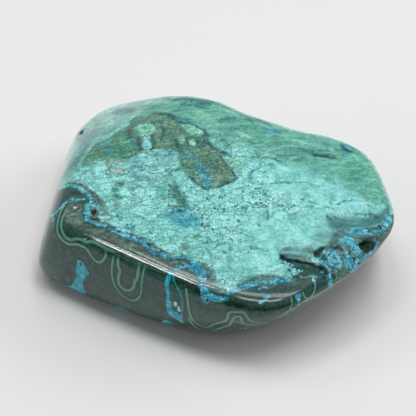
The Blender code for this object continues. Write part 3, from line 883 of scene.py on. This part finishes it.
# The polish follows the hard and soft rock in slow waves, and the open corner is rough with crystals.
pit = dict(depth=0.32, reach=0.12, fade=0.3)         # the small pits that are painted dark with shade, mm
pocket = dict(reach=0.1, fade=0.3, leastRough=0.35, middle=0.55, seed=5)
relief = dict(
    crystalBlue=(0.16, 0.75),    # height and width of the crystals, mm
    crystalGreen=(0.22, 0.8),
    patchCore=(0.20, 0.7),
)
# Where the polish is worn off: in mm from the corner's line, and about the hollows.
unpolished = dict(corner=3.0, cornerFade=2.5, hollows=1.5, hollowFade=3.0)
rightCorner = liftOnto(tree, [(300, 268), (330, 255), (352, 243), (372, 238), (388, 226)])
fromCorner = gapToRoute(surface, rightCorner, unpolished["corner"])
roughness = np.clip(1 - fromCorner / unpolished["cornerFade"], 0, 1)
groove = liftOnto(tree, [(336, 217), (350, 214), (366, 214), (380, 210)])
scoop = liftOnto(tree, [(283, 248), (296, 250), (310, 254), (322, 262)])
nearHollows = np.minimum(gapToRoute(surface, groove), gapToRoute(surface, scoop))
dull = np.clip(unpolished["hollows"] - nearHollows / unpolished["hollowFade"], 0, 1)
lift = sum(share * stone["waviness"] * softNoise(surface, size, salt)
           for size, share, salt in stone["waves"])
for name, (height, width) in relief.items():
    inside = np.clip((depths[name] + pocket["reach"]) / pocket["fade"], 0, 1)
    inside = inside * np.maximum(roughness, pocket["leastRough"])
    lift += inside * height * (pocket["middle"] - crystalNoise(surface, width, pocket["seed"]))
lift -= pit["depth"] * np.clip((depths["pitsWithPaintedShade"] + pit["reach"]) / pit["fade"], 0, 1)
depths["roughness"] = np.maximum(roughness, dull)
resting = surface[:, 2] < 0.6
lift = np.where(resting, 0, lift)
surface = surface + normals * lift[:, None]
surface[surface[:, 2] < stone["restFlat"], 2] = 0

mesh = bpy.data.meshes.new("chrysocollaStone")
for vertex, place in zip(body.verts, surface * mm):
    vertex.co = place
bmesh.ops.recalc_face_normals(body, faces=body.faces)
body.to_mesh(mesh)
body.free()
mesh.shade_smooth()
for name, values in depths.items():
    layer = mesh.attributes.new(name, "FLOAT", "POINT")
    layer.data.foreach_set("value", np.asarray(values, np.float32))
stonePiece = bpy.data.objects.new("chrysocollaStone", mesh)
bpy.context.scene.collection.objects.link(stonePiece)


def linear(hexColour):                       # an sRGB hex value as linear red, green, blue, alpha
    parts = [int(hexColour[start:start + 2], 16) / 255 for start in (1, 3, 5)]
    return [part / 12.92 if part <= 0.04045 else ((part + 0.055) / 1.055) ** 2.4
            for part in parts] + [1.0]


def put(tree, kind, links=None, stops=None, **settings):   # adds a node with settings and links
    node = tree.nodes.new("ShaderNode" + kind)
    for name, value in settings.items():
        setattr(node, name, value)
    for socket, source in (links or {}).items():
        if isinstance(source, bpy.types.Node):
            source = next(output for output in source.outputs if output.enabled)
        if isinstance(source, bpy.types.NodeSocket):
            tree.links.new(source, node.inputs[socket])
        else:
            node.inputs[socket].default_value = source
    for index, (place, colour) in enumerate(stops or []):
        ramp = node.color_ramp.elements
        element = ramp[index] if index < 2 else ramp.new(place)
        element.position = place
        element.color = linear(colour)
    return node


# Polished chrysocolla and malachite: tumbled to a wet gloss. The depth of colour comes from the
# minerals' own mottling, with painted shade, highlights, glints and a reflection in a few markings,
# and the gloss lies over all of it apart from the open crystal pockets.
rock = dict(
    ior=1.5,
    gloss=0.09,                  # roughness of the polish
    openRough=0.51,              # and of the open crystal pockets
    flowTurn=0.32,               # which way the rock's flow runs, radians
    flowStretch=(0.5, 1.15, 1.0),
    streakTurn=0.42,             # and the streaks of its smooth back
    streakStretch=(0.09, 0.9, 0.9),
    streakBend=(7.0, 3.5),       # mm across and mm of push of the noise that bends them
    noises=dict(                 # where it lies, mm across, detail, roughness and distortion
        clouds=("place", 4.2, 4, 0.6, 0.8),
        blotches=("flow", 1.5, 4, 0.65, 0.9),
        grains=("place", 0.62, 3, 0.7, 0),
        dust=("place", 0.30, 1, 0.55, 0),    # the finest grain that still shows
        wander=("place", 1.1, 4, 0.65, 0),   # bends the edges of the markings
        crowds=("place", 3.4, 3, 0.6, 0),    # where the flecks lie close
        calmness=("place", 13, 2, 0.55, 0),
        lineGaps=("place", 8, 2, 0.55, 0),
        swirls=("place", 2.1, 3, 0.5, 1.6),
        crystals=("place", 0.75, 4, 0.75, 0.6),
        streaks=("streak", 1.0, 4, 0.6, 0),
    ),
    cells=dict(                  # where it lies, mm across, mm across and of push of its bends
        patches=("place", 1.5, 1.4, 1.8, "F1"),
        flecks=("place", 0.55, 0.5, 0.5, "F1"),
        cracks=("flow", 2.3, 2.0, 2.0, "DISTANCE_TO_EDGE"),
        fineCracks=("place", 0.95, 0.9, 1.1, "DISTANCE_TO_EDGE"),
    ),
    swings=dict(                 # how strongly each noise sways each part's colour
        cap=dict(clouds=0.8, blotches=1.0, grains=0.75, dust=0.4),
        streaks=dict(streaks=1.5, grains=0.3, dust=0.25),
        bands=dict(grains=0.5, blotches=0.55),
        marble=dict(grains=0.7, blotches=1.5, dust=0.35),
    ),
    capMiddle=0.58,
    patchSwing=0.3,
    capZoneShare=0.15,
    calm=dict(share=0.65, lift=0.186, cracks=0.6),   # the quieter parts of the cap
    smoothPatches=(0.44, 0.56),  # where the noise lets the unseen smooth rock begin and be full
    smoothCover=0.85,
    flecks=dict(crowd=(0.42, 0.64), chance=(0.08, 0.48), zoneChance=0.25, cover=0.85,
                size=(0.17, 0.75), edge=(0.06, -0.12)),
    crackLooks=dict(             # edge and core of the line, where its pattern shows, and cover
        cracks=((0.07, 0.012), "blotches", (0.42, 0.56), 0.75),
        fineCracks=((0.14, 0.03), "clouds", (0.42, 0.60), 0.5),
    ),
    bandSpacing=0.36,            # mm between the growth bands of the banded rock
    bandWave=0.12,
    bends=dict(bands=0.5, hidden=0.05, seen=0.22, capEdge=0.9),   # how far edges wander, mm
    darkSides=dict(edge=(-0.75, -0.05), cover=0.4),  # beside the malachite lines
    hiddenLines=3.3,             # malachite lines of the unseen sides, for each step of growth
    hiddenLine=dict(gaps=(0.42, 0.55), edge=(0.425, 0.47)),
    seenLine=(-0.10, 0.13),
    worn=dict(where=(0.2, 0.5), cover=(0.6, 0.95)),
    marbling=dict(middle=0.6, swing=0.6, contours=7.0),
    raggedShares=(1.2, 0.35),    # how far the wander and the dust break a marking's edge
    capJoin=(-0.12, 0.12),
    veinRim=(0.42, 0.18),        # mm from the join where the unseen vein begins and is full
    lace=dict(zone=(-0.25, 0.1), cover=0.85, edge=(0.55, 0.615)),
    openFrom=0.2,                # the polish gives way to open rock from this much roughness
    bump=dict(grains=0.35, flecks=-0.5, strength=0.05, distance=0.00006),
    capStops=[(0.12, "#2f6059"), (0.33, "#4d9388"), (0.52, "#71beb4"), (0.66, "#8adad6"),
              (0.88, "#abf2ef")],
    streakStops=[(0.2, "#33665c"), (0.4, "#4b8a78"), (0.56, "#69ab96"), (0.72, "#86cabb")],
    bandStops=[(0.3, "#162c29"), (0.5, "#2f4e49"), (0.72, "#486a63")],
    markStops=(0.22, 0.5, 0.78),
    fleckColour="#2f4a48",
    crackColour="#37574f",
    laceColour="#1d3440",
    lineColour="#5c9a7f",
    lineDark="#15301f",
    veinColour="#45a5bb",
)


def rockMaterial():
    material = bpy.data.materials.new("polishedChrysocolla")
    material.use_nodes = True
    tree = material.node_tree
    tree.nodes.clear()
    depth = {name: put(tree, "Attribute", attribute_name=name).outputs["Fac"] for name in depths}

    def pushed(at, size, push):              # a place pushed about by a coarse noise
        bends = put(tree, "TexNoise", {"Vector": place, "Scale": 1 / size, "Detail": 3.0,
                                       "Roughness": 0.55})
        return put(tree, "VectorMath", {0: bends.outputs["Color"], 1: (push, push, push), 2: at},
                   operation="MULTIPLY_ADD")

    def swung(middle, *swings, part=None):   # a value swung to both sides by weighted patterns
        named = rock["swings"].get(part, {})
        swings = [(weight, noise[name]) for name, weight in named.items()] + list(swings)
        offset = -sum(weight for weight, pattern in swings) / 2
        value = put(tree, "Math", {0: middle, 1: offset}, operation="ADD")
        for weight, pattern in swings:
            value = put(tree, "Math", {0: pattern, 1: weight, 2: value}, operation="MULTIPLY_ADD")
        return value

    place = put(tree, "VectorMath", {0: put(tree, "TexCoord").outputs["Object"], "Scale": 1 / mm},
                operation="SCALE")
    flow = put(tree, "Mapping", {"Vector": place, "Rotation": (0, 0, rock["flowTurn"]),
                                 "Scale": rock["flowStretch"]})
    streak = put(tree, "Mapping", {"Vector": pushed(place, *rock["streakBend"]),
                                   "Rotation": (0, 0, rock["streakTurn"]),
                                   "Scale": rock["streakStretch"]})
    spaces = dict(place=place, flow=flow, streak=streak)
    noise = {name: put(tree, "TexNoise", {"Vector": spaces[space], "Scale": 1 / size,
                                          "Detail": detail, "Roughness": rough,
                                          "Distortion": warp})
             for name, (space, size, detail, rough, warp) in rock["noises"].items()}
    cells = {name: put(tree, "TexVoronoi", {"Vector": pushed(spaces[space], bend, push),
                                            "Scale": 1 / size}, feature=feature)
             for name, (space, size, bend, push, feature) in rock["cells"].items()}

    print("material: turquoise cap")
    patchTone = put(tree, "SeparateColor", {0: cells["patches"].outputs["Color"]}).outputs[1]
    tone = swung(rock["capMiddle"], (rock["patchSwing"], patchTone), part="cap")
    tone = put(tree, "Math", {0: depth["capTone"], 1: rock["capZoneShare"], 2: tone},
               operation="MULTIPLY_ADD")
    calm = rock["calm"]
    quiet = put(tree, "Math", {0: tone, 1: calm["share"], 2: calm["lift"]},
                operation="MULTIPLY_ADD")
    tone = put(tree, "Mix", {0: depth["calmZone"], 2: tone, 3: quiet})
    cap = put(tree, "ValToRGB", {0: tone}, rock["capStops"])

    # Smooth streaked rock along the back, and over much of the unseen sides.
    begins, full = rock["smoothPatches"]
    unseenSmooth = put(tree, "MapRange", {0: noise["calmness"], 1: begins, 2: full,
                                          4: depth["unseen"]}, interpolation_type="SMOOTHSTEP")
    smooth = put(tree, "Math", {0: depth["smoothZone"], 1: unseenSmooth}, operation="MAXIMUM")
    streaked = put(tree, "ValToRGB", {0: swung(0.5, part="streaks")}, rock["streakStops"])
    streakShare = put(tree, "MapRange", {0: smooth, 4: rock["smoothCover"]})
    cap = put(tree, "Mix", {0: streakShare, 6: cap, 7: streaked}, data_type="RGBA")

    # Dark flecks in crowds: each cell has one, of its own size, or none.
    chance = put(tree, "SeparateColor", {0: cells["flecks"].outputs["Color"]})
    fleck = rock["flecks"]
    (begins, full), (rare, often) = fleck["crowd"], fleck["chance"]
    crowd = put(tree, "MapRange", {0: noise["crowds"], 1: begins, 2: full, 3: rare, 4: often},
                interpolation_type="SMOOTHSTEP")
    crowd = put(tree, "Math", {0: depth["fleckZone"], 1: fleck["zoneChance"], 2: crowd},
                operation="MULTIPLY_ADD")
    present = put(tree, "Math", {0: chance, 1: crowd}, operation="LESS_THAN")
    present = put(tree, "Math", {0: present, 1: fleck["cover"]}, operation="MULTIPLY")
    small, growing = fleck["size"]
    spread = put(tree, "Math", {0: chance, 1: growing, 2: small}, operation="MULTIPLY_ADD")
    spread = put(tree, "Math", {0: cells["flecks"], 1: spread}, operation="SUBTRACT")
    begins, full = fleck["edge"]
    speck = put(tree, "MapRange", {0: spread, 1: begins, 2: full, 4: present},
                interpolation_type="SMOOTHSTEP")
    bare = put(tree, "Math", {0: smooth, 1: depth["calmZone"]}, operation="MAXIMUM")
    speck = put(tree, "MapRange", {0: bare, 2: 1 / rock["smoothCover"], 3: speck, 4: 0.0})

    # Healed cracks in two sizes, each where its own broad pattern lets it show.
    ink = 0.0
    for crack, ((wide, thin), pattern, (begins, full), most) in rock["crackLooks"].items():
        share = put(tree, "MapRange", {0: noise[pattern], 1: begins, 2: full, 4: most},
                    interpolation_type="SMOOTHSTEP")
        line = put(tree, "MapRange", {0: cells[crack], 1: wide, 2: thin, 4: share},
                   interpolation_type="SMOOTHSTEP")
        ink = put(tree, "Math", {0: line, 1: ink}, operation="MAXIMUM")
    ink = put(tree, "MapRange", {0: depth["calmZone"], 2: 1 / calm["cracks"], 3: ink, 4: 0.0})
    ink = put(tree, "MapRange", {0: smooth, 3: ink, 4: 0.0})

    print("material: banded rock")
    bends, wander = rock["bends"], noise["wander"]
    banding = swung(depth["malachite"], (bends["bands"], wander))
    banding = put(tree, "Math", {0: banding, 1: 2 * math.pi / rock["bandSpacing"]},
                  operation="MULTIPLY")
    waves = put(tree, "Math", {0: banding}, operation="SINE")
    bandTone = put(tree, "Math", {0: waves, 1: rock["bandWave"], 2: swung(0.5, part="bands")},
                   operation="MULTIPLY_ADD")
    banded = put(tree, "ValToRGB", {0: bandTone}, rock["bandStops"])
    begins, full = rock["darkSides"]["edge"]
    nearLine = put(tree, "MapRange", {0: depth["malachite"], 1: begins, 2: full,
                                      4: rock["darkSides"]["cover"]},
                   interpolation_type="SMOOTHSTEP")
    growth = swung(depth["growth"], (bends["hidden"], wander))
    growth = put(tree, "Math", {0: growth, 1: rock["hiddenLines"]}, operation="MULTIPLY")
    rings = put(tree, "Math", {0: growth, 1: 0.5}, operation="PINGPONG")
    begins, full = rock["hiddenLine"]["gaps"]
    gaps = put(tree, "MapRange", {0: noise["lineGaps"], 1: begins, 2: full, 4: depth["unseen"]},
               interpolation_type="SMOOTHSTEP")
    begins, full = rock["hiddenLine"]["edge"]
    hiddenLine = put(tree, "MapRange", {0: rings, 1: begins, 2: full, 4: gaps},
                     interpolation_type="SMOOTHSTEP")
    begins, full = rock["seenLine"]
    seenLine = put(tree, "MapRange", {0: swung(depth["malachite"], (bends["seen"], wander)),
                                      1: begins, 2: full}, interpolation_type="SMOOTHSTEP")
    lines = put(tree, "Math", {0: seenLine, 1: hiddenLine}, operation="MAXIMUM")
    (begins, full), (thin, most) = rock["worn"]["where"], rock["worn"]["cover"]
    worn = put(tree, "MapRange", {0: noise["blotches"], 1: begins, 2: full, 3: thin, 4: most},
               interpolation_type="SMOOTHSTEP")
    lines = put(tree, "Math", {0: lines, 1: worn}, operation="MULTIPLY")
    for share, shade in ((nearLine, "lineDark"), (lines, "lineColour")):
        banded = put(tree, "Mix", {0: share, 6: banded, 7: linear(rock[shade])}, data_type="RGBA")

    marbling = rock["marbling"]
    contours = put(tree, "Math", {0: noise["swirls"], 1: marbling["contours"]},
                   operation="MULTIPLY")
    contours = put(tree, "Math", {0: contours, 1: 0.5}, operation="PINGPONG")
    marble = swung(marbling["middle"], (marbling["swing"], contours), part="marble")

    def painted(colour, name, marking):      # a marking's marbled colours laid inside its edge
        print("material:", name)
        coarse, fine = rock["raggedShares"]
        edge = swung(depth[name], (marking["ragged"] * coarse, wander),
                     (marking["ragged"] * fine, noise["dust"]))
        share = put(tree, "MapRange", {0: edge, 1: -marking["soft"], 2: marking["soft"],
                                       4: marking["cover"]}, interpolation_type="SMOOTHSTEP")
        paint = put(tree, "ValToRGB", {0: marble}, zip(rock["markStops"], marking["colours"]))
        return put(tree, "Mix", {0: share, 6: colour, 7: paint}, data_type="RGBA")

    for name, marking in markings.items():
        cap = painted(cap, name, marking)
    for share, shade in ((ink, "crackColour"), (speck, "fleckColour")):
        cap = put(tree, "Mix", {0: share, 6: cap, 7: linear(rock[shade])}, data_type="RGBA")

    print("material: join of the two")
    edge = swung(depth["cap"], (bends["capEdge"], wander))
    begins, full = rock["capJoin"]
    capShare = put(tree, "MapRange", {0: edge, 1: begins, 2: full},
                   interpolation_type="SMOOTHSTEP")
    colour = put(tree, "Mix", {0: capShare, 6: banded, 7: cap}, data_type="RGBA")
    fromEdge = put(tree, "Math", {0: edge}, operation="ABSOLUTE")
    begins, full = rock["veinRim"]
    rim = put(tree, "MapRange", {0: fromEdge, 1: begins, 2: full, 4: depth["unseen"]},
              interpolation_type="SMOOTHSTEP")
    colour = put(tree, "Mix", {0: rim, 6: colour, 7: linear(rock["veinColour"])}, data_type="RGBA")
    for name, marking in frontMarkings.items():
        colour = painted(colour, name, marking)
    begins, full = rock["lace"]["zone"]
    onVein = put(tree, "MapRange", {0: depth["crystalBlue"], 1: begins, 2: full,
                                    4: rock["lace"]["cover"]}, interpolation_type="SMOOTHSTEP")
    begins, full = rock["lace"]["edge"]
    lace = put(tree, "MapRange", {0: noise["crystals"], 1: begins, 2: full, 4: onVein},
               interpolation_type="SMOOTHSTEP")
    colour = put(tree, "Mix", {0: lace, 6: colour, 7: linear(rock["laceColour"])}, data_type="RGBA")

    rough = put(tree, "MapRange", {0: depth["roughness"], 1: rock["openFrom"], 3: rock["gloss"],
                                   4: rock["openRough"]}, interpolation_type="SMOOTHSTEP")
    skin = rock["bump"]
    bumps = put(tree, "Math", {0: speck, 1: skin["flecks"],
                               2: swung(0.0, (skin["grains"], noise["grains"]))},
                operation="MULTIPLY_ADD")
    bump = put(tree, "Bump", {"Strength": skin["strength"], "Distance": skin["distance"],
                              "Height": bumps})
    shader = put(tree, "BsdfPrincipled", {"Base Color": colour, "Roughness": rough,
                                          "IOR": rock["ior"], "Normal": bump})
    put(tree, "OutputMaterial", {0: shader})
    return material


mesh.materials.append(rockMaterial())
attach(stonePiece, "root")
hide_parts("chrysocolla_stone")

# A pale matt sweep of painted board.
ground = dict(halfSize=1500, colour="#e4e4e3", rough=0.75)
floorMesh = bpy.data.meshes.new("paleFloor")
reach = ground["halfSize"] * mm
floorMesh.from_pydata([(-reach, -reach, 0), (reach, -reach, 0), (reach, reach, 0),
                       (-reach, reach, 0)], [], [(0, 1, 2, 3)])
floor = bpy.data.objects.new("paleFloor", floorMesh)
bpy.context.scene.collection.objects.link(floor)
board = bpy.data.materials.new("mattPaintedBoard")
board.use_nodes = True
board.node_tree.nodes.clear()
paint = put(board.node_tree, "BsdfPrincipled", {"Base Color": linear(ground["colour"]),
                                                "Roughness": ground["rough"]})
put(board.node_tree, "OutputMaterial", {0: paint})
floorMesh.materials.append(board)

# Soft studio light: a bright tent behind and overhead, darkness in front, thin strips above it.
# The first six softboxes' places come from a least-squares fit, with their strengths then
# adjusted.
light = dict(
    tent=0.38, front=0.08, fill=0.09, cameraSees="#e9e9e9",
    ceiling=1200,                # height of the strips; the places and widths below are in ceilings
    strips=[((-0.50, -0.16), (0.02, -0.08), 0.12, 5), ((0.02, -0.08), (0.36, -0.30), 0.12, 5),
            ((-0.94, -0.48), (-0.62, -0.47), 0.045, 42), ((-0.80, -0.33), (-0.38, -0.28), 0.03, 30),
            ((-0.30, -0.40), (0.24, -0.40), 0.12, 7)],           # start, end, width, radiance
    softboxes=[(0, 80, 9.8, 14), (330, 70, 10.4, 14), (60, 70, 5.2, 14), (150, 57, 4.2, 14),
               (180, 80, 6.0, 14), (135, 80, 2.6, 14), (15, 24, 2.7, 42), (90, 22, 0.8, 40),
               (195, 24, 1.4, 40)],
    boxDistance=2000,            # each one's azimuth, elevation, radiance and degrees across
    behind=(-0.15, 0.45),        # where the tent begins and is full, going back
    above=(0.86, 0.95),          # and going up
)
world = bpy.data.worlds.new("studioTent")
bpy.context.scene.world = world
world.use_nodes = True
sky = world.node_tree
sky.nodes.clear()
parts = put(sky, "SeparateXYZ", {0: put(sky, "TexCoord").outputs["Generated"]})
behind = put(sky, "MapRange", {0: parts.outputs[1], 1: light["behind"][0], 2: light["behind"][1]},
             interpolation_type="SMOOTHSTEP").outputs[0]
above = put(sky, "MapRange", {0: parts.outputs[2], 1: light["above"][0], 2: light["above"][1]},
            interpolation_type="SMOOTHSTEP").outputs[0]
openSide = put(sky, "Math", {0: behind, 1: above}, operation="MAXIMUM").outputs[0]
strength = put(sky, "MapRange", {0: openSide, 3: light["front"], 4: light["tent"]}).outputs[0]
seenBy = put(sky, "LightPath")
strength = put(sky, "MapRange", {0: seenBy.outputs["Is Diffuse Ray"], 3: strength,
                                 4: light["fill"]}).outputs[0]
glow = put(sky, "Background", {0: linear("#ffffff"), 1: strength})
plain = put(sky, "Background", {0: linear(light["cameraSees"]), 1: 1.0})
seen = seenBy.outputs["Is Camera Ray"]
put(sky, "OutputWorld", {0: put(sky, "MixShader", {0: seen, 1: glow, 2: plain})})


def softLight(name, place, away, radiance, length, width, onlyGloss, run=(0, 0, 1)):
    lamp = bpy.data.lights.new(name, "AREA")
    lamp.shape = "RECTANGLE"
    lamp.size, lamp.size_y = length * mm, width * mm
    lamp.energy = radiance * math.pi * lamp.size * lamp.size_y
    thing = bpy.data.objects.new(name, lamp)
    bpy.context.scene.collection.objects.link(thing)
    across = np.cross(away, run)
    across /= np.linalg.norm(across)
    along = np.cross(across, away)
    thing.matrix_world = Matrix(((along[0], across[0], away[0], place[0] * mm),
                                 (along[1], across[1], away[1], place[1] * mm),
                                 (along[2], across[2], away[2], place[2] * mm), (0, 0, 0, 1)))
    thing.visible_camera = False
    thing.visible_diffuse = not onlyGloss
    thing.visible_glossy = onlyGloss


for index, (start, end, width, radiance) in enumerate(light["strips"]):
    start, end = (np.array([*corner, 1.0]) * light["ceiling"] for corner in (start, end))
    middle = (start + end) / 2
    softLight(f"strip{index}", middle, middle / np.linalg.norm(middle), radiance,
              np.linalg.norm(end - start), width * light["ceiling"], True, end - start)
for index, (azimuth, elevation, radiance, degrees) in enumerate(light["softboxes"]):
    away = direction(azimuth, elevation)
    width = 2 * math.tan(math.radians(degrees / 2)) * light["boxDistance"]
    softLight(f"softbox{index}", np.array(stone["heart"]) + away * light["boxDistance"], away,
              radiance, width, width, False)

camera = bpy.data.objects.new("camera", bpy.data.cameras.new("camera"))
bpy.context.scene.collection.objects.link(camera)
camera.location = eye * mm
camera.rotation_mode = "QUATERNION"
camera.rotation_quaternion = Vector(backward).to_track_quat("Z", "Y")
camera.data.sensor_width = view["sensor"]
camera.data.lens = view["sensor"] * view["distance"] / view["frameWidth"]
camera.data.clip_start, camera.data.clip_end = view["clip"]
bpy.context.scene.camera = camera
bpy.context.scene.view_settings.view_transform = "Standard"
